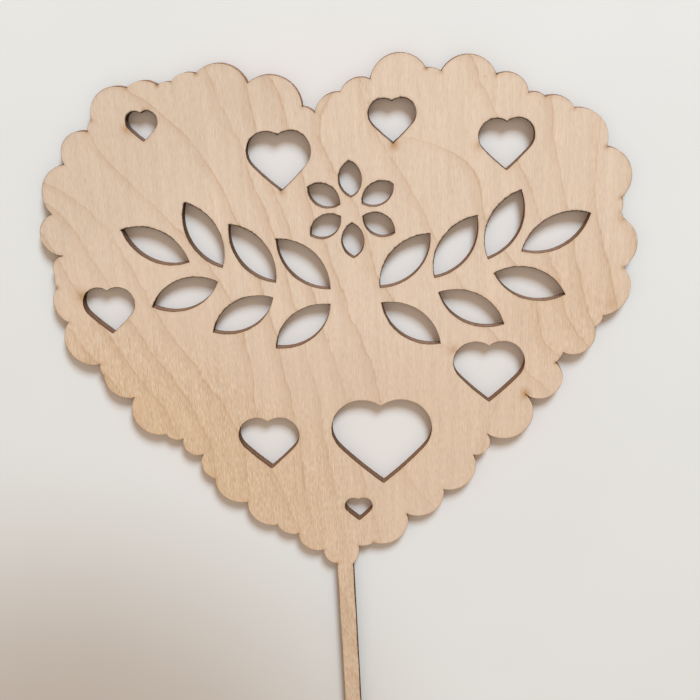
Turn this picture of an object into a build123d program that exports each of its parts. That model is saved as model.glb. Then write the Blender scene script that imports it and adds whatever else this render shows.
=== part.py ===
"""Heart-shaped cake topper, cut by laser in one pass from a three-ply birch sheet.

The plate stands upright in the XZ plane and faces -Y. Its stick is part of the same sheet. The origin is in
the middle of the stick where it enters the cake, so the stick's lower end is below Z = 0. Lengths in mm.
"""
from build123d import *
import os
from math import cos, degrees, radians, sin, sqrt

# The sheet: a face veneer, a core veneer across it and a second face veneer, with a resin film at each joint
face_veneer_thickness = 0.9
core_veneer_thickness = 1.0
glue_line_thickness = 0.1

# The plate's width over its scalloped edge. The lengths of the plate's drawing, which are all those below the
# stick's, are for a plate of the drawing's width, and the whole drawing is scaled to the plate's
plate_width = 160.9
drawing_width = 160.9
plate_scale = plate_width / drawing_width

# The stick below the plate: what shows above the cake, what goes into it, and the point at its end
stick_width = 5.0
stick_clear_length = 30.0
stick_cake_depth = 70.0
stick_point_length = 8.0

# One drawing serves all the heart cut-outs, at the size of the largest: two round lobes whose sides
# leave the lobe at the shoulder angle, below level, and bend gently into the tip
heart_width = 28.7
heart_height = 26.3
heart_lobe_radius = 8.9
heart_shoulder_angle = 42.0

# Heart cut-outs: width, middle across the plate, and height of the lobes' tops above the stick's root
hearts = [
    (8.3, -46.7, 136.4),
    (16.9, -11.4, 129.9),
    (12.2, 18.6, 136.9),
    (14.2, 47.8, 130.7),
    (14.5, -62.0, 89.3),
    (19.6, 43.4, 70.5),
    (17.5, -20.1, 48.9),
    (heart_width, 12.7, 53.7),
    (8.0, 5.0, 22.4),
]

# Leaf garland across the middle: pairs of leaves along both halves of a hanging stem, and an end leaf.
# The stem is the wood that stays between the leaves of a pair
garland_middle = 7.0
garland_low_point = 84.5
garland_radius = 95.0
leaf_length = 20.0
leaf_width = 8.6
leaf_angle = 42.0
leaf_stem_gap = 2.2
leaf_pair_count = 3
first_leaf_distance = 7.0
leaf_pair_pitch = 15.5
end_leaf_distance = 47.0

# Flower, with its middle above the garland's low point
flower_rise = 24.0
petal_count = 6
petal_length = 9.5
petal_width = 6.0
petal_start_radius = 3.5

# Scalloped edge, counter-clockwise from the stick's right side to its left: where each lobe starts, across
# the plate and up from the stick's root, and how far its arc stands out from its chord
stick_root_right = (stick_width / 2 / plate_scale, 0.0)
stick_root_left = (-stick_width / 2 / plate_scale, 0.0)
scallops = [
    (*stick_root_right, 0.7),
    (4.5, 6.1, 0.4),
    (8.9, 7.2, 4.3),
    (19.2, 16.9, 4.1),
    (30.2, 24.8, 4.4),
    (38.9, 35.9, 2.7),
    (42.9, 42.5, 7.4),
    (53.7, 54.4, 6.0),
    (61.8, 63.8, 0.2),
    (63.8, 66.7, 3.8),
    (72.0, 73.9, 0.6),
    (74.2, 77.1, 4.4),
    (79.0, 90.5, 3.6),
    (78.4, 103.7, 0.1),
    (77.7, 105.5, 0.4),
    (77.7, 109.3, 4.3),
    (73.3, 122.6, 3.4),
    (64.8, 132.6, 1.5),
    (57.4, 135.8, 0.6),
    (53.2, 136.9, 2.4),
    (45.1, 141.7, 4.5),
    (31.2, 143.0, 0.4),
    (27.5, 144.0, 5.0),
    (13.2, 142.0, 1.7),
    (5.4, 139.1, 1.6),
    (-1.3, 134.3, 0.3),
    (-4.4, 135.9, 4.7),
    (-18.1, 142.3, 3.7),
    (-31.2, 145.2, 1.2),
    (-37.9, 143.4, 0.4),
    (-41.5, 142.8, 1.5),
    (-49.6, 142.4, 3.7),
    (-60.1, 134.8, 0.3),
    (-61.4, 131.8, 3.6),
    (-68.9, 123.6, 4.3),
    (-74.4, 110.4, 4.8),
    (-73.1, 98.8, 1.6),
    (-76.1, 93.4, 0.3),
    (-76.1, 89.8, 2.6),
    (-74.3, 79.6, 5.2),
    (-67.2, 66.7, 0.5),
    (-66.4, 63.3, 2.8),
    (-58.4, 56.3, 4.8),
    (-50.4, 44.4, 1.0),
    (-45.5, 42.9, 2.5),
    (-40.1, 37.7, 2.0),
    (-37.4, 29.6, 3.0),
    (-28.3, 21.7, 2.8),
    (-19.9, 13.7, 1.3),
    (-13.7, 10.6, 2.4),
    (-6.3, 4.9, 1.3),
]


def scalloped_plate():
    """The plate's drawing without its cut-outs: a lobe from each scallop to the next, closed at the root."""
    lobe_ends = scallops[1:] + [stick_root_left]
    edges = [Line(stick_root_left, stick_root_right)]
    for (across, up, rise), lobe_end in zip(scallops, lobe_ends):
        edges.append(SagittaArc((across, up), lobe_end[:2], -rise))
    return make_face(edges)


def pointed_stick():
    """The stick, from its root at the origin down to its point."""
    stick_end = -(stick_clear_length + stick_cake_depth)
    point_start = stick_end + stick_point_length
    outline = Polyline(
        (-stick_width / 2, 0),
        (-stick_width / 2, point_start),
        (0, stick_end),
        (stick_width / 2, point_start),
        (stick_width / 2, 0),
        close=True,
    )
    return make_face(outline.edges())


def heart_cutout(width, middle, lobe_top):
    """The heart drawing, scaled to a width, with its lobes' tops at a height."""
    lobe_offset = heart_width / 2 - heart_lobe_radius
    notch_drop = heart_lobe_radius - sqrt(heart_lobe_radius**2 - lobe_offset**2)
    shoulder_turn = radians(heart_shoulder_angle)
    shoulder = (
        lobe_offset + heart_lobe_radius * cos(shoulder_turn),
        -heart_lobe_radius * (1 + sin(shoulder_turn)),
    )
    tip = (0, -heart_height)
    lobe = ThreePointArc((0, -notch_drop), (lobe_offset, 0), shoulder)
    side = TangentArc(shoulder, tip, tangent=(-sin(shoulder_turn), -cos(shoulder_turn)))
    right_half = [lobe, side]
    left_half = [mirror(edge, about=Plane.YZ) for edge in right_half]
    return Pos(middle, lobe_top) * scale(make_face(right_half + left_half), by=width / heart_width)


def pointed_oval(length, width):
    """Leaf or petal that lies along X from the origin: two equal arcs that meet in points."""
    upper = SagittaArc((0, 0), (length, 0), width / 2)
    lower = SagittaArc((length, 0), (0, 0), width / 2)
    return make_face([upper, lower])


def garland_cutouts():
    """Leaves along the right half of the hanging stem, and the same leaves mirrored for the left half."""
    leaf = pointed_oval(leaf_length, leaf_width)
    right_half = []
    for pair in range(leaf_pair_count):
        stem_turn = (first_leaf_distance + pair * leaf_pair_pitch) / garland_radius
        for side in (1, -1):
            seat_radius = garland_radius - side * leaf_stem_gap
            seat = (seat_radius * sin(stem_turn), garland_radius - seat_radius * cos(stem_turn))
            right_half.append(Pos(*seat) * Rot(0, 0, degrees(stem_turn) + side * leaf_angle) * leaf)
    end_turn = end_leaf_distance / garland_radius
    end_seat = (garland_radius * sin(end_turn), garland_radius * (1 - cos(end_turn)))
    right_half.append(Pos(*end_seat) * Rot(0, 0, degrees(end_turn)) * leaf)
    left_half = [mirror(cutout, about=Plane.YZ) for cutout in right_half]
    return [Pos(garland_middle, garland_low_point) * cutout for cutout in right_half + left_half]


def flower_cutouts():
    """Petals round a small disc of wood, the first one upright."""
    petal = Pos(petal_start_radius, 0) * pointed_oval(petal_length, petal_width)
    middle = Pos(garland_middle, garland_low_point + flower_rise)
    return [middle * Rot(0, 0, 90 + 360 * turn / petal_count) * petal for turn in range(petal_count)]


# Every layer has the same profile, drawn with the stick's root at its origin and raised to its height
cutouts = [heart_cutout(*heart) for heart in hearts] + garland_cutouts() + flower_cutouts()
plate = scale(scalloped_plate() - cutouts, by=plate_scale)
profile = Plane.XZ * (Pos(0, stick_clear_length) * (plate + pointed_stick()))

# The layers from the front of the sheet to its back
layers = [
    ("front_veneer", face_veneer_thickness),
    ("front_glue_line", glue_line_thickness),
    ("core_veneer", core_veneer_thickness),
    ("back_glue_line", glue_line_thickness),
    ("back_veneer", face_veneer_thickness),
]
sheet_thickness = sum(thickness for name, thickness in layers)

os.makedirs("parts", exist_ok=True)
layer_back = -sheet_thickness / 2
for name, thickness in layers:
    layer_back += thickness
    layer = Pos(0, layer_back, 0) * extrude(profile, amount=thickness)
    export_step(layer, f"parts/{name}.step")
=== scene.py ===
from math import ceil, radians

import bpy
import numpy as np
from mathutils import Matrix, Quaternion, Vector
from mathutils.geometry import delaunay_2d_cdt
from mathutils.kdtree import KDTree


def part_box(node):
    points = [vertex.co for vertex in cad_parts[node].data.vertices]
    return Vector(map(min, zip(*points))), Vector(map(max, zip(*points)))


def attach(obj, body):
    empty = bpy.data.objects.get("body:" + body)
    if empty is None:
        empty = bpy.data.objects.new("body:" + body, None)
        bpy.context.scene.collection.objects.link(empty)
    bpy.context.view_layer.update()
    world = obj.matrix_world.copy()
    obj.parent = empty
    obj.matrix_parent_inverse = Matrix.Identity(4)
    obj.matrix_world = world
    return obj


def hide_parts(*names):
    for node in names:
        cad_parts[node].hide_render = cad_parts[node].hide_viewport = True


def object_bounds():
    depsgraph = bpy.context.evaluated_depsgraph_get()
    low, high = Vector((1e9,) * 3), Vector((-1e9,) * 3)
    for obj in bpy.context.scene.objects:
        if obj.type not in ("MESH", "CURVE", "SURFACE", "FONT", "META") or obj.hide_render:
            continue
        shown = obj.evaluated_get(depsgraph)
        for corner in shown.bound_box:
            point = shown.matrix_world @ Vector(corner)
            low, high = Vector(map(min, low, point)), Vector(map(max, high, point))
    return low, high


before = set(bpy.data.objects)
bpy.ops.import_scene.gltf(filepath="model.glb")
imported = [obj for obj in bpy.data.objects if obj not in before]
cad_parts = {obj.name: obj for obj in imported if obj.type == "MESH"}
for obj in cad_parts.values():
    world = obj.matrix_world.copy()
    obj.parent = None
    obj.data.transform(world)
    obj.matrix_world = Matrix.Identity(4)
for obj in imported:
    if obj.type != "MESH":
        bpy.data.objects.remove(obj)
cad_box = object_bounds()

# Front veneer
# The birch face veneer that is seen: peeled, sanded and left bare, with its grain upright. It is glued
# to the core, and a laser cut its outline and its cut-outs together with the rest of the sheet.

# Lengths are in mm and angles in degrees, until the mesh is made
mm = 0.001

# The cut: the spacing of its points, the turns that make a corner and a sharp point of wood, how far the
# beam burnt its wall back, the radius of the rounding at the face's edge and its curve as shares of that,
# sideways and deep, the angle from which an edge is sharp, and the least cosine of a corner's mitre
point_spacing = 0.3
corner_turn = 14.0
point_turn = 100.0
burnt_back = 0.02
edge_rounding = 0.1
rounding_curve = [(1.0, 0.0), (0.3, 0.3), (0.0, 1.0)]
sharp_edge_angle = 35.0
mitre_limit = 0.5

# Points inside the veneer's face. Rows follow the cut: their distance from it, and one in how many of the
# cut's points has a point there. Fans go round inner corners, and a grid fills the rest. Points within the
# merge distance count as one
edge_rows = [(0.25, 1), (0.55, 2), (1.0, 3), (1.7, 5), (2.8, 8)]
row_clearance = 0.93
fan_points = 6
grid_pitch = 2.2
grid_edge_distance = 3.7
merge_distance = 1e-7


def cut_rings(node):
    """Outline and cut-outs of a layer's front: rings of (across, up) points, with the wood on their left."""
    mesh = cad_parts[node].data
    sides = set()
    for face in mesh.polygons:
        if face.normal.y < -0.9:
            corners = [mesh.vertices[index].co / mm for index in face.vertices]
            places = [(round(corner.x, 4), round(corner.z, 4)) for corner in corners]
            sides.update(zip(places, places[1:] + places[:1]))
    following = {start: end for start, end in sides if (end, start) not in sides}
    rings = []
    while following:
        start, point = following.popitem()
        ring = [start]
        while point != start:
            ring.append(point)
            point = following.pop(point)
        rings.append(np.array(ring))
    return rings


def unit(vectors):
    return vectors / np.linalg.norm(vectors, axis=-1, keepdims=True)


def faired_ring(ring):
    """The ring with closer points, on arcs through the old ones, but none next to a sharp point of wood."""
    ahead = np.roll(ring, -1, axis=0) - ring
    behind = np.roll(ahead, 1, axis=0)
    length = np.linalg.norm(ahead, axis=1)
    cosine = np.sum(unit(ahead) * unit(behind), axis=1)
    corner = cosine < np.cos(radians(corner_turn))
    left_turn = behind[:, 0] * ahead[:, 1] > behind[:, 1] * ahead[:, 0]
    point_of_wood = left_turn & (cosine < np.cos(radians(point_turn)))
    tangent = unit(ahead / length[:, None] ** 2 + behind / np.roll(length, 1)[:, None] ** 2)
    points = []
    for index in range(len(ring)):
        after = (index + 1) % len(ring)
        chord = ahead[index] / length[index]
        leave, arrive = tangent[index], tangent[after]
        if corner[index] and corner[after]:
            leave, arrive = chord, chord
        elif corner[index]:
            leave = 2 * np.dot(chord, arrive) * chord - arrive
        elif corner[after]:
            arrive = 2 * np.dot(chord, leave) * chord - leave
        steps = ceil(length[index] / point_spacing)
        shares = np.arange(steps) / steps
        if point_of_wood[index]:
            shares = np.delete(shares, 1)
        if point_of_wood[after]:
            shares = shares[:-1]
        for share in shares:
            bend_out = share * (1 - share) ** 2 * length[index] * leave
            bend_in = share**2 * (share - 1) * length[index] * arrive
            travel = share**2 * (3 - 2 * share)
            points.append(ring[index] + travel * ahead[index] + bend_out + bend_in)
    return np.array(points)


def side_normals(ring):
    """Directions into the wood of the ring's sides before and after each point."""
    ahead = unit(np.roll(ring, -1, axis=0) - ring)
    after = np.stack([-ahead[:, 1], ahead[:, 0]], axis=1)
    return np.roll(after, 1, axis=0), after


def inner_corners(ring, least_turn):
    """Numbers of the ring's points where the cut turns into the wood by more than an angle."""
    before, after = side_normals(ring)
    turn = before[:, 0] * after[:, 1] - before[:, 1] * after[:, 0]
    return np.flatnonzero(turn < -np.sin(radians(least_turn)))


def inset(ring, distance):
    """The ring moved a little way into the wood, with its corners kept sharp."""
    before, after = side_normals(ring)
    middle = unit(before + after)
    stretch = np.maximum(np.sum(middle * after, axis=1), mitre_limit)
    return ring + distance * middle / stretch[:, None]


# All layers share one cut: its rings, its points, their directions into the wood, and its sides, each as
# the numbers of its two points
rings = [faired_ring(ring) for ring in cut_rings("front_veneer")]
outline = max(rings, key=len)
cut_points = np.concatenate(rings)
cut_normals = np.concatenate([unit(sum(side_normals(ring))) for ring in rings])
cut_sides = []
for ring in rings:
    first = len(cut_sides)
    cut_sides += [(first + step, first + (step + 1) % len(ring)) for step in range(len(ring))]
cut_tree = KDTree(len(cut_points))
for index, point in enumerate(cut_points):
    cut_tree.insert((*point, 0.0), index)
cut_tree.balance()

# The char line is wider and blacker on the left sides of the cut-outs and the stick's right side. On the
# cut-outs' upper sides, more and more between two heights, it is widened and blackened as painted shade. The
# plate's own edge gets a paler char than any of them
side_darkening = 0.5
top_shade_start = 95.0
top_shade_full = 135.0
stick_root = 30.0
paler_outline = -0.2
cut_height = cut_points[:, 1]
in_cutout = np.concatenate([np.full(len(ring), ring is not outline) for ring in rings])
# Painted shade on the cut-outs' upper sides, which face away from the lamp, growing between two heights
top_painted_shade = np.clip((cut_height - top_shade_start) / (top_shade_full - top_shade_start), 0.0, 1.0)
char_and_shade = top_painted_shade * np.maximum(cut_normals[:, 1], 0.0) + side_darkening * np.maximum(-cut_normals[:, 0], 0.0)
char_and_shade = np.where(in_cutout | (cut_height < stick_root), np.minimum(char_and_shade, 1.0), paler_outline)


def nearest_cut(points):
    """Distance from each point to the cut, and the number of the cut point that it is nearest to."""
    found = [cut_tree.find((*point, 0.0)) for point in points]
    return np.array([hit[2] for hit in found]), np.array([hit[1] for hit in found])


def face_points():
    """Points inside the face: rows that follow the cut, fans round its inner corners and a grid between."""
    kept = []
    for distance, one_in in edge_rows:
        rows = []
        for ring in rings:
            before, after = side_normals(ring)
            rows.append((ring + distance * unit(before + after))[::one_in])
            for corner in inner_corners(ring, corner_turn):
                spread = np.linspace(0, 1, fan_points)[:, None]
                fan = unit(before[corner] * (1 - spread) + after[corner] * spread)
                rows.append(ring[corner] + distance * fan)
        row = np.concatenate(rows)
        kept.append(row[nearest_cut(row)[0] > row_clearance * distance])
    low, high = cut_points.min(axis=0), cut_points.max(axis=0)
    across = np.arange(low[0], high[0], grid_pitch)
    up = np.arange(low[1], high[1], grid_pitch)
    grid = np.stack(np.meshgrid(across, up), axis=-1)
    grid[1::2, :, 0] += grid_pitch / 2
    grid = grid.reshape(-1, 2)
    nearest = nearest_cut(grid)[1]
    depth = np.sum((grid - cut_points[nearest]) * cut_normals[nearest], axis=1)
    kept.append(grid[depth > grid_edge_distance])
    return np.concatenate(kept)


# Growth lines of the face from left to right, each as places (across, up) from its top to its foot, the
# degree of the curve through a line's places, the least gap between two lines, and the spacing further out
growth_lines = [
    [(-76, 148), (-70, 147), (-64, 140), (-56, 128), (-50, 114), (-41, 97), (-31, 79), (-28, 55), (-25, 38)],
    [(-61, 160), (-53, 149), (-42, 136), (-32, 124), (-26, 108), (-24, 89), (-20, 61), (-12, 30)],
    [(-48, 170), (-42, 165), (-35, 160), (-29, 146), (-23, 130), (-18, 113), (-15, 88), (-12, 66), (-9, 38)],
    [(-30, 176), (-25, 163), (-20, 147), (-16, 131), (-10, 110), (-8, 90), (-4, 62), (0, 31)],
    [(-21, 175), (-19, 161), (-15, 143), (-9, 123), (-4, 106), (-1, 89), (4, 62), (9, 38)],
    [(-15, 174), (-11, 159), (-5, 136), (0, 119), (6, 99), (10, 85), (17, 59), (28, 47)],
    [(-3, 163), (1, 148), (8, 129), (15, 111), (26, 102), (33, 96), (43, 84)],
    [(8, 169), (10, 161), (16, 151), (22, 137), (32, 118), (43, 100), (55, 86)],
    [(17, 157), (27, 154), (33, 150), (37, 142), (43, 127), (53, 108), (62, 94)],
    [(35, 174), (40, 164), (46, 151), (52, 135), (58, 115), (66, 98)],
    [(54, 166), (55, 154), (58, 140), (61, 124), (67, 105)],
    [(66, 162), (65, 150), (66, 136), (70, 118), (74, 104)],
]
growth_line_degree = 5
least_ring_gap = 0.5
outer_ring_spacing = 9.0


def growth_rings(points):
    """Number of the growth ring at each point, whole on a growth line, and the rings' spacing there."""
    places = []
    for line in growth_lines:
        across, up = np.array(line, float).T
        degree = min(growth_line_degree, len(line) - 1)
        sweep = np.polynomial.Polynomial.fit(up, across, degree)
        height = np.clip(points[:, 1], up.min(), up.max())
        places.append(sweep(height) + sweep.deriv()(height) * (points[:, 1] - height))
    least_gaps = least_ring_gap * np.arange(len(places))[:, None]
    places = np.maximum.accumulate(np.array(places), axis=0) + least_gaps
    number = np.zeros(len(points))
    spacing = np.full(len(points), outer_ring_spacing)
    for left, (start, end) in enumerate(zip(places, places[1:])):
        between = (points[:, 0] >= start) & (points[:, 0] < end)
        number[between] = left + ((points[:, 0] - start) / (end - start))[between]
        spacing[between] = (end - start)[between]
    beyond = points[:, 0] >= places[-1]
    number[beyond] = len(places) - 1 + ((points[:, 0] - places[-1]) / outer_ring_spacing)[beyond]
    before = points[:, 0] < places[0]
    number[before] = ((points[:, 0] - places[0]) / outer_ring_spacing)[before]
    return number, spacing


# Amber burn marks where the beam dwelt: across, up, radius and strength
burn_and_shade_marks = [
    (18.8, 155.4, 1.3, 1.0),
    (-11.3, 144.3, 1.1, 0.7),
    (40.6, 154.2, 1.3, 0.6),
    (-50.9, 161.9, 1.4, 0.8),
    (-45.6, 166.9, 0.9, 0.5),
    (-69.2, 117.2, 1.7, 0.8),
    (33.6, 98.6, 1.3, 0.6),
    (53.5, 84.5, 1.4, 1.0),
    (-70.5, 97.2, 1.4, 0.4),
    (76.0, 110.5, 1.6, 0.4),
    (78.0, 134.0, 1.4, 0.4),
    (-60.5, 66.0, 2.2, 0.3),
]

# Where two lobes meet, the beam dwelt and left an amber burn, and the char there is darkened as painted
# shade of the notch. Marks there, from left to right, take these strengths in turn
lobe_corner_turn = 45.0
corner_burn_and_shade_radius = 0.7
corner_burn_and_shade_strengths = [0.9, 0.3, 0.6, 0.2, 0.8, 0.4, 0.5]
lobe_corners = sorted(map(tuple, outline[inner_corners(outline, lobe_corner_turn)]))
for number, (across, up) in enumerate(lobe_corners):
    strength = corner_burn_and_shade_strengths[number % len(corner_burn_and_shade_strengths)]
    burn_and_shade_marks.append((across, up, corner_burn_and_shade_radius, strength))


def burn_and_shade_strengths(points):
    """Strength of the burn marks at each point, which at the lobe corners also carries painted shade."""
    strength = np.zeros(len(points))
    for across, up, radius, peak in burn_and_shade_marks:
        away = np.hypot(points[:, 0] - across, points[:, 1] - up)
        strength += peak * np.exp(-((away / radius) ** 2))
    return np.minimum(strength, 1.0)


def wood_triangles(triangles):
    """The triangles on the left of the cut's sides, and all that they reach without crossing the cut."""
    following = np.full(triangles.max() + 1, -1)
    following[: len(cut_sides)] = [end for start, end in cut_sides]
    start = triangles.ravel()
    end = np.roll(triangles, -1, axis=1).ravel()
    owner = np.repeat(np.arange(len(triangles)), 3)
    wood = np.zeros(len(triangles), bool)
    wood[owner[following[start] == end]] = True
    open_side = (following[start] != end) & (following[end] != start)
    label = (np.minimum(start, end) * len(following) + np.maximum(start, end))[open_side]
    order = np.argsort(label, kind="stable")
    shared = np.flatnonzero(np.diff(label[order]) == 0)
    neighbours = owner[open_side][order]
    first, second = neighbours[shared], neighbours[shared + 1]
    reached = 0
    while wood.sum() > reached:
        reached = wood.sum()
        wood[second[wood[first]]] = True
        wood[first[wood[second]]] = True
    return triangles[wood]


def wall_rows(node, wall, round_front, round_back):
    """Rows of points down a layer's cut wall: each one's distance into the wood and depth in the sheet."""
    front, back = [corner.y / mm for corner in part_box(node)]
    rounded = [(wall + edge_rounding * side, edge_rounding * deep) for side, deep in rounding_curve]
    rows = [(wall, front)]
    if round_front:
        rows = [(into, front + deep) for into, deep in rounded]
    if round_back:
        return rows + [(into, back - deep) for into, deep in rounded[::-1]]
    return rows + [(wall, back)]


def wall_faces(row_count):
    """Faces between neighbouring rows of wall points, along the whole cut."""
    faces = []
    for row in range(row_count - 1):
        near = row * len(cut_points)
        far = near + len(cut_points)
        faces += [(near + start, far + start, far + end, near + end) for start, end in cut_sides]
    return faces


def ply_mesh(name, node, recess=0.0, round_front=False, round_back=False):
    """Closed mesh of a layer: walls along every cut, set back by the recess, and a face at each end."""
    wall = burnt_back + recess
    rows = wall_rows(node, wall, round_front, round_back)
    row_size = len(cut_points)
    flats = [np.concatenate([inset(ring, into) for ring in rings]) for into, depth in rows]
    depths = [np.full(row_size, depth) for into, depth in rows]
    distances = [np.full(row_size, into - wall) for into, depth in rows]
    # Every row carries how much blacker the char is, which on the cut-outs' upper sides is painted shade
    char_and_shade_rows = [char_and_shade] * len(rows)
    faces = wall_faces(len(rows))
    inside_cut = 1
    for row, rounded in ((0, round_front), (len(rows) - 1, round_back)):
        inner = face_points() if rounded else np.empty((0, 2))
        flat = [Vector(point) for point in np.concatenate([flats[row], inner])]
        filled = delaunay_2d_cdt(flat, cut_sides, [], inside_cut, merge_distance)[2]
        triangles = wood_triangles(np.array(filled))
        inner_start = sum(map(len, flats)) - row_size
        triangles = triangles + np.where(triangles < row_size, row * row_size, inner_start)
        faces += (triangles if row == 0 else triangles[:, ::-1]).tolist()
        if rounded:
            away, nearest = nearest_cut(inner)
            flats.append(inner)
            depths.append(np.full(len(inner), rows[row][1]))
            distances.append(away)
            char_and_shade_rows.append(char_and_shade[nearest])
    flat = np.concatenate(flats)
    verts = np.column_stack([flat[:, 0], np.concatenate(depths), flat[:, 1]])
    mesh = bpy.data.meshes.new(name)
    mesh.from_pydata((verts * mm).tolist(), [], faces)
    mesh.shade_smooth()
    mesh.set_sharp_from_angle(angle=radians(sharp_edge_angle))
    number, spacing = growth_rings(flat)
    values = {
        "cut_distance": np.concatenate(distances),
        "char_and_shade": np.concatenate(char_and_shade_rows),
        "growth_ring": number,
        "ring_spacing": spacing,
        "burn_and_corner_shade": burn_and_shade_strengths(flat),
    }
    for label, value in values.items():
        mesh.attributes.new(label, "FLOAT", "POINT").data.foreach_set("value", value.astype(np.float32))
    piece = bpy.data.objects.new(name, mesh)
    bpy.context.scene.collection.objects.link(piece)
    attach(piece, "root")
    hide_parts(node)
    return piece


front_veneer = ply_mesh("front_veneer_birch", "front_veneer", round_front=True)


def add_node(tree, kind, inputs=None, **settings):
    """A new shader node, whose inputs are set to values or linked to other nodes' outputs."""
    node = tree.nodes.new(kind)
    for label, value in settings.items():
        setattr(node, label, value)
    for socket, value in (inputs or {}).items():
        if isinstance(value, bpy.types.NodeSocket):
            tree.links.new(value, node.inputs[socket])
        else:
            node.inputs[socket].default_value = value
    return node


def maths(tree, operation, first, second=0.0, third=0.0):
    inputs = {0: first, 1: second, 2: third}
    return add_node(tree, "ShaderNodeMath", inputs, operation=operation).outputs[0]


def product(tree, first, *others):
    """Values multiplied together."""
    for other in others:
        first = maths(tree, "MULTIPLY", first, other)
    return first


def ramp(tree, value, low, high, start=0.0, end=1.0):
    """A value eased from start to end as the first one goes from low to high."""
    inputs = {"Value": value, "From Min": low, "From Max": high, "To Min": start, "To Max": end}
    return add_node(tree, "ShaderNodeMapRange", inputs, interpolation_type="SMOOTHSTEP").outputs["Result"]


# ShaderNodeMix has a socket of each name per data type, so colours are linked by number
def blend(tree, share, first, second, mode="MIX"):
    """Two colours, blended."""
    inputs = {0: share, 6: first, 7: second}
    return add_node(tree, "ShaderNodeMix", inputs, data_type="RGBA", blend_type=mode).outputs[2]


def place_in_mm(tree):
    place = add_node(tree, "ShaderNodeTexCoord").outputs["Object"]
    inputs = {0: place, "Scale": 1 / mm}
    return add_node(tree, "ShaderNodeVectorMath", inputs, operation="SCALE").outputs[0]


def axes(tree, place):
    """A place's parts, as outputs X, Y and Z."""
    return add_node(tree, "ShaderNodeSeparateXYZ", {0: place}).outputs


def distance_from(tree, place, spot):
    inputs = {0: place, 1: spot}
    return add_node(tree, "ShaderNodeVectorMath", inputs, operation="DISTANCE").outputs["Value"]


def noise(tree, place, rate, detail=2.0, roughness=0.5):
    """Noise whose features have a rate per mm across, through and up the sheet."""
    spread = add_node(tree, "ShaderNodeVectorMath", {0: place, 1: rate}, operation="MULTIPLY").outputs[0]
    inputs = {"Vector": spread, "Scale": 1.0, "Detail": detail, "Roughness": roughness}
    return add_node(tree, "ShaderNodeTexNoise", inputs).outputs["Fac"]


def sway(tree, value, by, reach):
    """A value moved up and down by noise over a reach."""
    return maths(tree, "MULTIPLY_ADD", maths(tree, "SUBTRACT", by, 0.5), reach, value)


def attribute(tree, name):
    return add_node(tree, "ShaderNodeAttribute", attribute_name=name).outputs["Fac"]


def new_group(name, inputs, outputs):
    """An empty node group, its input node's outputs and its output node's inputs."""
    group = bpy.data.node_groups.new(name, "ShaderNodeTree")
    for label, value in inputs.items():
        socket = group.interface.new_socket(label, in_out="INPUT", socket_type="NodeSocketFloat")
        socket.default_value = value
    for label, kind in outputs.items():
        group.interface.new_socket(label, in_out="OUTPUT", socket_type=kind)
    return group, group.nodes.new("NodeGroupInput").outputs, group.nodes.new("NodeGroupOutput").inputs


# Bare birch: yellower in its lower half, most of all along the left flank, and in a patch at the right
# edge, and duller at the upper left and on the stick. It has short light and dark fibre flecks along the
# upright grain, thin feathered growth lines and a few brown specks
birch_pale = (0.745, 0.575, 0.440, 1.0)
birch_yellow = (0.694, 0.487, 0.314, 1.0)
fleck_pale = (0.90, 0.76, 0.60, 1.0)
fleck_brown = (0.42, 0.25, 0.14, 1.0)
growth_line_brown = (0.48, 0.28, 0.14, 1.0)
speck_brown = (0.23, 0.13, 0.07, 1.0)
yellow_patch = (66.0, -1.5, 105.0)


def yellowness(tree, place):
    """How yellow the wood is."""
    parts = axes(tree, place)
    across, height = parts["X"], parts["Z"]
    mottle = noise(tree, place, (0.035, 0.5, 0.02))
    from_flank = sway(tree, maths(tree, "MULTIPLY_ADD", across, 1.5, height), mottle, 60.0)
    below_top = ramp(tree, height, 130.0, 80.0, 0.05, 1.0)
    above_foot = ramp(tree, height, 30.0, 55.0, 0.75, 1.0)
    flank = product(tree, ramp(tree, from_flank, 110.0, -10.0), below_top, above_foot)
    patch = ramp(tree, distance_from(tree, place, yellow_patch), 30.0, 8.0, 0.0, 0.4)
    lower_half = ramp(tree, height, 110.0, 80.0, 0.0, 0.28)
    return maths(tree, "MAXIMUM", maths(tree, "MAXIMUM", flank, patch), lower_half)


def brightness(tree, place):
    """How bright the wood is: streaked along the grain, and duller at the upper left and on the stick."""
    parts = axes(tree, place)
    across, height = parts["X"], parts["Z"]
    streak = noise(tree, place, (0.6, 0.6, 0.03))
    to_upper_left = maths(tree, "SUBTRACT", maths(tree, "MULTIPLY", height, 1.6), across)
    upper_left = ramp(tree, to_upper_left, 250.0, 295.0, 1.0, 0.93)
    stick = ramp(tree, height, stick_root, stick_root - 10.0, 1.0, 0.92)
    return product(tree, maths(tree, "MULTIPLY_ADD", streak, 0.20, 0.905), upper_left, stick)


def growth_line_strength(tree, place):
    """How strongly a growth line shows: a thin feathered line, and late wood that darkens towards it."""
    ring = maths(tree, "ADD", attribute(tree, "growth_ring"), 0.5)
    off_line = maths(tree, "SUBTRACT", maths(tree, "FRACT", ring), 0.5)
    off_line = maths(tree, "MULTIPLY", off_line, attribute(tree, "ring_spacing"))
    off_line = sway(tree, off_line, noise(tree, place, (0.09, 0.09, 0.08)), 3.4)
    off_line = sway(tree, off_line, noise(tree, place, (2.0, 2.0, 0.16), 1.0), 1.4)
    thin_line = ramp(tree, maths(tree, "ABSOLUTE", off_line), 0.45, 0.0, 0.0, 0.25)
    late_wood = ramp(tree, off_line, -4.0, 0.0, 0.0, 0.21)
    early_wood = ramp(tree, off_line, 0.0, 0.6, 1.0, 0.0)
    strength = maths(tree, "ADD", thin_line, maths(tree, "MULTIPLY", late_wood, early_wood))
    presence = ramp(tree, noise(tree, place, (0.05, 0.4, 0.03), 1.0), 0.32, 0.55, 0.5, 1.0)
    fainter_below = ramp(tree, axes(tree, place)["Z"], 50.0, 110.0, 0.7, 1.0)
    return product(tree, strength, presence, fainter_below)


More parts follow.
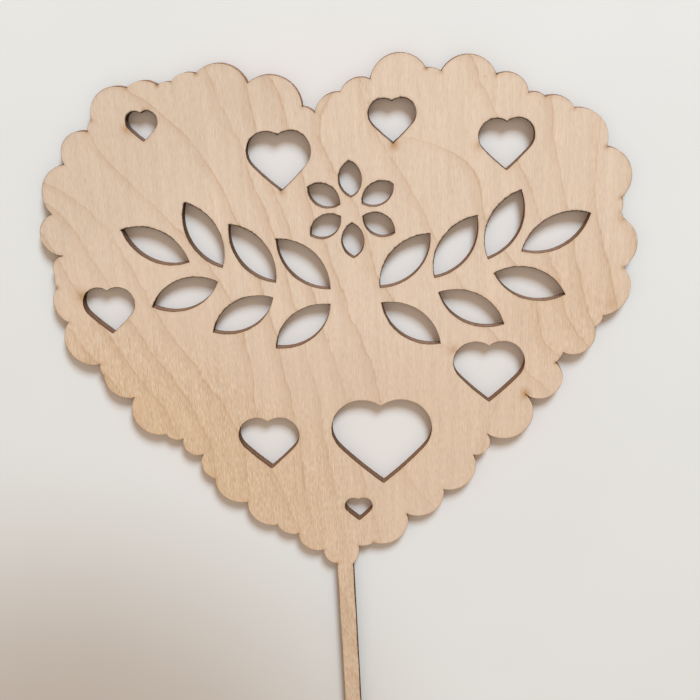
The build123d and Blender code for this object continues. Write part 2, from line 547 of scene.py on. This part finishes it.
def bare_birch_group():
    """Node group with the colour and the fine relief of bare birch."""
    outputs = {"Color": "NodeSocketColor", "Height": "NodeSocketFloat"}
    tree, _, ends = new_group("bare_birch", {}, outputs)
    place = place_in_mm(tree)
    yellow = yellowness(tree, place)
    flecked = ramp(tree, yellow, 0.2, 0.6, 0.5, 1.0)
    fibre = noise(tree, place, (4.4, 4.4, 0.2), 1.0, 0.6)
    grain = product(tree, maths(tree, "SUBTRACT", fibre, 0.5), flecked)
    bright = maths(tree, "MULTIPLY_ADD", grain, 0.36, brightness(tree, place))
    color = blend(tree, yellow, birch_pale, birch_yellow)
    color = blend(tree, 1.0, color, bright, "MULTIPLY")
    fleck = noise(tree, place, (4.8, 4.8, 0.6), 0.0)
    light_fleck = ramp(tree, fleck, 0.54, 0.74, 0.0, 0.36)
    dark_fleck = ramp(tree, fleck, 0.46, 0.26, 0.0, 0.28)
    color = blend(tree, product(tree, light_fleck, flecked), color, fleck_pale)
    color = blend(tree, product(tree, dark_fleck, flecked), color, fleck_brown)
    color = blend(tree, growth_line_strength(tree, place), color, growth_line_brown)
    cells = add_node(tree, "ShaderNodeTexVoronoi", {"Vector": place, "Scale": 0.11}).outputs
    speck_size = maths(tree, "MULTIPLY", maths(tree, "POWER", cells["Color"], 3.0), 0.035)
    speck = maths(tree, "LESS_THAN", cells["Distance"], speck_size)
    color = blend(tree, maths(tree, "MULTIPLY", speck, 0.6), color, speck_brown)
    tree.links.new(color, ends["Color"])
    tree.links.new(fibre, ends["Height"])
    return tree


# What the beam leaves: a charred wall, scratched from front to back, a dark line along its edge and an amber
# halo. On the cut-outs' upper sides and in the lobe corners, the dark char is partly painted shade
char_brown = (0.240, 0.115, 0.062, 1.0)
char_black = (0.042, 0.021, 0.012, 1.0)
amber = (0.44, 0.22, 0.065, 1.0)


def laser_cut_group():
    """Node group with masks for the char along the cut, partly painted shade, and the scorch round it, and
    the char's colour.
    """
    inputs = {"Halo Reach": 1.4, "Halo Strength": 0.4}
    outputs = {"Char": "NodeSocketFloat", "Scorch": "NodeSocketFloat", "Char Color": "NodeSocketColor"}
    tree, starts, ends = new_group("laser_cut", inputs, outputs)
    place = place_in_mm(tree)
    distance = attribute(tree, "cut_distance")
    darker_char_and_shade = attribute(tree, "char_and_shade")
    burn_and_shade = attribute(tree, "burn_and_corner_shade")
    flicker = noise(tree, place, (1.1, 0.3, 1.1))
    patch = noise(tree, place, (0.11, 0.3, 0.11))

    ragged = product(tree, distance, ramp(tree, flicker, 0.3, 0.7, 1.35, 0.8))
    line_width = ramp(tree, patch, 0.35, 0.65, 0.06, 0.22)
    # The line widens where the char is blacker, which on the cut-outs' upper sides is painted shade
    line_width = maths(tree, "MULTIPLY_ADD", ramp(tree, darker_char_and_shade, 0.0, 1.0), 0.4, line_width)
    edge_line = ramp(tree, maths(tree, "DIVIDE", ragged, line_width), 1.0, 0.2)
    # A dark scar where the beam dwelt, which in the lobe corners is also painted shade
    scar = ramp(tree, maths(tree, "MULTIPLY_ADD", distance, -0.8, burn_and_shade), 0.55, 0.95, 0.0, 0.8)
    tree.links.new(maths(tree, "MAXIMUM", edge_line, scar), ends["Char"])

    reach = product(tree, ramp(tree, patch, 0.3, 0.7, 0.35, 1.6), starts["Halo Reach"])
    halo = ramp(tree, maths(tree, "DIVIDE", distance, reach), 1.0, 0.0)
    halo = product(tree, maths(tree, "POWER", halo, 1.6), starts["Halo Strength"])
    mark = product(tree, burn_and_shade, ramp(tree, flicker, 0.2, 0.7, 0.65, 0.95))
    tree.links.new(maths(tree, "MAXIMUM", halo, mark), ends["Scorch"])

    scratch = noise(tree, place, (2.6, 0.12, 2.6))
    from_middle = maths(tree, "ABSOLUTE", axes(tree, place)["Y"])
    browning = product(
        tree,
        ramp(tree, scratch, 0.25, 0.7, 0.6, 1.0),
        ramp(tree, from_middle, 1.5, 1.1, 0.7, 1.0),
        ramp(tree, patch, 0.3, 0.7, 0.75, 1.0),
        # Blacker where the char line is darkened, which on the cut-outs' upper sides is painted shade
        ramp(tree, darker_char_and_shade, -0.5, 0.9, 1.6, 0.1),
        # Blacker at burn marks, and in the lobe corners as painted shade
        ramp(tree, burn_and_shade, 0.1, 0.7, 1.0, 0.1),
    )
    tree.links.new(blend(tree, browning, char_black, char_brown), ends["Char Color"])
    return tree


def new_material(name):
    """A new material, its node tree and its shader."""
    material = bpy.data.materials.new(name)
    material.use_nodes = True
    return material, material.node_tree, material.node_tree.nodes["Principled BSDF"]


def relief(tree, height, strength, depth):
    """Normals of a surface with a fine relief, whose depth is in metres."""
    inputs = {"Height": height, "Strength": strength, "Distance": depth}
    return add_node(tree, "ShaderNodeBump", inputs).outputs["Normal"]


bare_birch = bare_birch_group()
laser_cut = laser_cut_group()


def face_birch(name, halo_reach, halo_strength):
    """Sanded birch face veneer with what the laser left on it, and painted shade along some of its cut
    edges.
    """
    material, tree, shader = new_material(name)
    wood = add_node(tree, "ShaderNodeGroup", node_tree=bare_birch).outputs
    halo = {"Halo Reach": halo_reach, "Halo Strength": halo_strength}
    cut = add_node(tree, "ShaderNodeGroup", halo, node_tree=laser_cut).outputs
    scorched = blend(tree, cut["Scorch"], wood["Color"], amber)
    tree.links.new(blend(tree, cut["Char"], scorched, cut["Char Color"]), shader.inputs["Base Color"])
    tree.links.new(ramp(tree, wood["Height"], 0.2, 0.8, 0.72, 0.58), shader.inputs["Roughness"])
    tree.links.new(relief(tree, wood["Height"], 0.35, 0.04 * mm), shader.inputs["Normal"])
    shader.inputs["Specular IOR Level"].default_value = 0.03
    return material


front_veneer.data.materials.append(face_birch("face_birch_front", 1.1, 0.18))

# Back veneer
# The same birch face veneer on the sheet's other side, which lay on the laser's bed: the smoke that was
# caught under it left a wider and stronger amber halo.

back_veneer = ply_mesh("back_veneer_birch", "back_veneer", round_back=True)
back_veneer.data.materials.append(face_birch("face_birch_back", 2.4, 0.5))

# Core veneer
# The middle birch veneer, laid with its grain across. Only its charred cut wall shows, set back a little
# because the beam burnt its end grain away.

core_recess = 0.015
core_tan = (0.30, 0.175, 0.105, 1.0)
core_veneer = ply_mesh("core_veneer_birch", "core_veneer", core_recess)
core_birch, tree, shader = new_material("core_birch_cut")
end_grain = noise(tree, place_in_mm(tree), (1.4, 5.0, 1.4), 3.0)
cut = add_node(tree, "ShaderNodeGroup", node_tree=laser_cut).outputs
# Less end grain shows where the char is blacker, which on the cut-outs' upper sides is painted shade
undarkened = ramp(tree, attribute(tree, "char_and_shade"), 0.0, 0.7, 1.0, 0.0)
show_through = product(tree, ramp(tree, end_grain, 0.3, 0.7, 0.15, 0.75), undarkened)
tree.links.new(blend(tree, show_through, cut["Char Color"], core_tan), shader.inputs["Base Color"])
tree.links.new(ramp(tree, end_grain, 0.2, 0.8, 0.9, 0.7), shader.inputs["Roughness"])
tree.links.new(relief(tree, end_grain, 0.4, 0.05 * mm), shader.inputs["Normal"])
shader.inputs["Specular IOR Level"].default_value = 0.02
core_veneer.data.materials.append(core_birch)

# Glue lines
# Thin films of cured brown resin that were pressed between the veneers. The beam burnt them back a little
# further than the wood, so they show as two dark hairlines along every cut wall.

glue_recess = 0.04
resin_dark = (0.020, 0.012, 0.009, 1.0)
resin_brown = (0.060, 0.034, 0.022, 1.0)
resin, tree, shader = new_material("cured_resin")
beads = noise(tree, place_in_mm(tree), (1.8, 1.8, 1.8))
resin_color = blend(tree, ramp(tree, beads, 0.3, 0.7), resin_dark, resin_brown)
tree.links.new(resin_color, shader.inputs["Base Color"])
tree.links.new(ramp(tree, beads, 0.2, 0.8, 0.65, 0.45), shader.inputs["Roughness"])
shader.inputs["Specular IOR Level"].default_value = 0.1
for node in ("front_glue_line", "back_glue_line"):
    glue_line = ply_mesh(f"{node}_resin", node, glue_recess)
    glue_line.data.materials.append(resin)

# Stage
# A pale board that the topper lies flat against, seen from its front only, and a pale floor at the stick's
# point. Both fade into the pale surround and cast no shadow, and they throw light back only at what is near
# them without touching them, and only from well above the floor.

# The boards' own lengths are in metres, and the distances that their looks go by are in mm
topper_low, topper_high = cad_box
board_half = 0.6
board_gap = 0.05 * mm
nearest_lit = 0.2 * mm
furthest_lit = 30.0 * mm
lowest_lit = (topper_low.z + furthest_lit) / mm
fade_start = 320.0
fade_end = 560.0

# A soft shadow is painted on the board's lower left, and warm bounce light is painted on it behind the plate
shade_place = (-95.0, 1.5, -67.0)
shade_edge = 146.0
shade_core = 41.0
plate_place = (0.0, 1.5, 112.0)
bounce_edge = 85.0
bounce_core = 60.0


def stage_board(name, corners, pale, shaded, bounce_tinted, one_sided):
    """A pale board with soft mottling, which fades out far from its middle and may show from one side."""
    mesh = bpy.data.meshes.new(name)
    mesh.from_pydata(corners, [], [(0, 1, 2, 3)])
    board = bpy.data.objects.new(name, mesh)
    bpy.context.scene.collection.objects.link(board)
    board.visible_shadow = False
    material, tree, shader = new_material(name)
    place = place_in_mm(tree)
    mottle = ramp(tree, noise(tree, place, (0.02, 0.02, 0.02)), 0.3, 0.7, 0.985, 1.0)
    # Painted shadow on the lower left, and painted warm bounce light behind the plate
    in_shade = ramp(tree, distance_from(tree, place, shade_place), shade_edge, shade_core)
    painted_bounce = ramp(tree, distance_from(tree, place, plate_place), bounce_edge, bounce_core)
    color = blend(tree, painted_bounce, blend(tree, in_shade, pale, shaded), bounce_tinted)
    tree.links.new(blend(tree, 1.0, color, mottle, "MULTIPLY"), shader.inputs["Base Color"])
    shader.inputs["Roughness"].default_value = 0.9
    shader.inputs["Specular IOR Level"].default_value = 0.1
    ray = add_node(tree, "ShaderNodeLightPath").outputs
    touching = maths(tree, "LESS_THAN", ray["Ray Length"], nearest_lit)
    far_off = maths(tree, "GREATER_THAN", ray["Ray Length"], furthest_lit)
    low_down = maths(tree, "LESS_THAN", axes(tree, place)["Z"], lowest_lit)
    unlit = maths(tree, "MAXIMUM", maths(tree, "MAXIMUM", touching, far_off), low_down)
    faded = ramp(tree, distance_from(tree, place, (0.0, 0.0, 0.0)), fade_start, fade_end)
    hidden = maths(tree, "MAXIMUM", faded, product(tree, unlit, ray["Is Diffuse Ray"]))
    if one_sided:
        behind = add_node(tree, "ShaderNodeNewGeometry").outputs["Backfacing"]
        hidden = maths(tree, "MAXIMUM", hidden, behind)
    clear = add_node(tree, "ShaderNodeBsdfTransparent").outputs[0]
    seen = add_node(tree, "ShaderNodeMixShader", {0: hidden, 1: shader.outputs[0], 2: clear}).outputs[0]
    tree.links.new(seen, tree.nodes["Material Output"].inputs["Surface"])
    mesh.materials.append(material)


board_depth = topper_high.y + board_gap
board_corners = [
    (-board_half, board_depth, topper_low.z),
    (board_half, board_depth, topper_low.z),
    (board_half, board_depth, board_half),
    (-board_half, board_depth, board_half),
]
board_pale = (0.803, 0.797, 0.774, 1.0)
board_shaded = (0.56, 0.49, 0.43, 1.0)
board_bounce_tinted = (0.820, 0.782, 0.753, 1.0)
stage_board("backdrop", board_corners, board_pale, board_shaded, board_bounce_tinted, True)
floor_corners = [
    (-board_half, -board_half, topper_low.z),
    (board_half, -board_half, topper_low.z),
    (board_half, board_half, topper_low.z),
    (-board_half, board_half, topper_low.z),
]
floor_pale = (0.70, 0.63, 0.565, 1.0)
stage_board("floor", floor_corners, floor_pale, floor_pale, floor_pale, False)

# Light
# A soft cool lamp above and a little to the right, as from a window, a warm surround that is brightest
# straight in front and behind, and a weak lamp for the back.


def aimed_lamp(name, kind, energy, color, towards):
    """A lamp that shines in a direction."""
    light = bpy.data.lights.new(name, kind)
    light.energy = energy
    light.color = color
    lamp = bpy.data.objects.new(name, light)
    lamp.rotation_mode = "QUATERNION"
    lamp.rotation_quaternion = towards.to_track_quat("-Z", "Y")
    bpy.context.scene.collection.objects.link(lamp)
    return lamp


topper_middle = Vector((0.0, 0.0, 0.11))
window_distance = 2.1
to_window = window_distance * Vector((0.27, -0.55, 0.79))
window_cool = (0.72, 0.88, 1.0)
window_lamp = aimed_lamp("window_lamp", "AREA", 50.3, window_cool, -to_window)
window_lamp.location = topper_middle + to_window
window_lamp.visible_camera = False
window_lamp.data.shape = "DISK"
window_lamp.data.size = 0.7
back_cool = (0.80, 0.92, 1.0)
back_lamp = aimed_lamp("back_lamp", "SUN", 1.6, back_cool, Vector((-0.1, -0.95, -0.3)))
back_lamp.data.angle = radians(20)

surround_warm = (1.0, 0.79, 0.62, 1.0)
surround_pale = (0.80, 0.785, 0.755, 1.0)
world = bpy.data.worlds.new("pale_surround")
bpy.context.scene.world = world
world.use_nodes = True
tree = world.node_tree
direction = add_node(tree, "ShaderNodeTexCoord").outputs["Generated"]
straight_on = maths(tree, "ABSOLUTE", axes(tree, direction)["Y"])
lit_by = tree.nodes["Background"]
lit_by.inputs["Color"].default_value = surround_warm
tree.links.new(ramp(tree, straight_on, 0.15, 0.9, 0.385, 0.61), lit_by.inputs["Strength"])
seen_as = add_node(tree, "ShaderNodeBackground", {"Color": surround_pale, "Strength": 1.0})
camera_ray = add_node(tree, "ShaderNodeLightPath").outputs["Is Camera Ray"]
mixed = {0: camera_ray, 1: lit_by.outputs[0], 2: seen_as.outputs[0]}
surround = add_node(tree, "ShaderNodeMixShader", mixed).outputs[0]
tree.links.new(surround, tree.nodes["World Output"].inputs["Surface"])

# Camera
# Above the plate and a little to its right, close to it, turned slightly about its own axis.

camera_place = Vector((0.0223, -0.2490, 0.1878))
camera_aim = Vector((0.0046, 0.0, 0.0986))
camera_roll = radians(-2.9)
camera_data = bpy.data.cameras.new("camera")
camera_data.sensor_width = 36.0
camera_data.lens = 48.4
camera = bpy.data.objects.new("camera", camera_data)
camera.location = camera_place
camera.rotation_mode = "QUATERNION"
look = (camera_aim - camera_place).to_track_quat("-Z", "Y")
camera.rotation_quaternion = look @ Quaternion((0.0, 0.0, 1.0), camera_roll)
bpy.context.scene.collection.objects.link(camera)
bpy.context.scene.camera = camera
bpy.context.scene.view_settings.view_transform = "Standard"
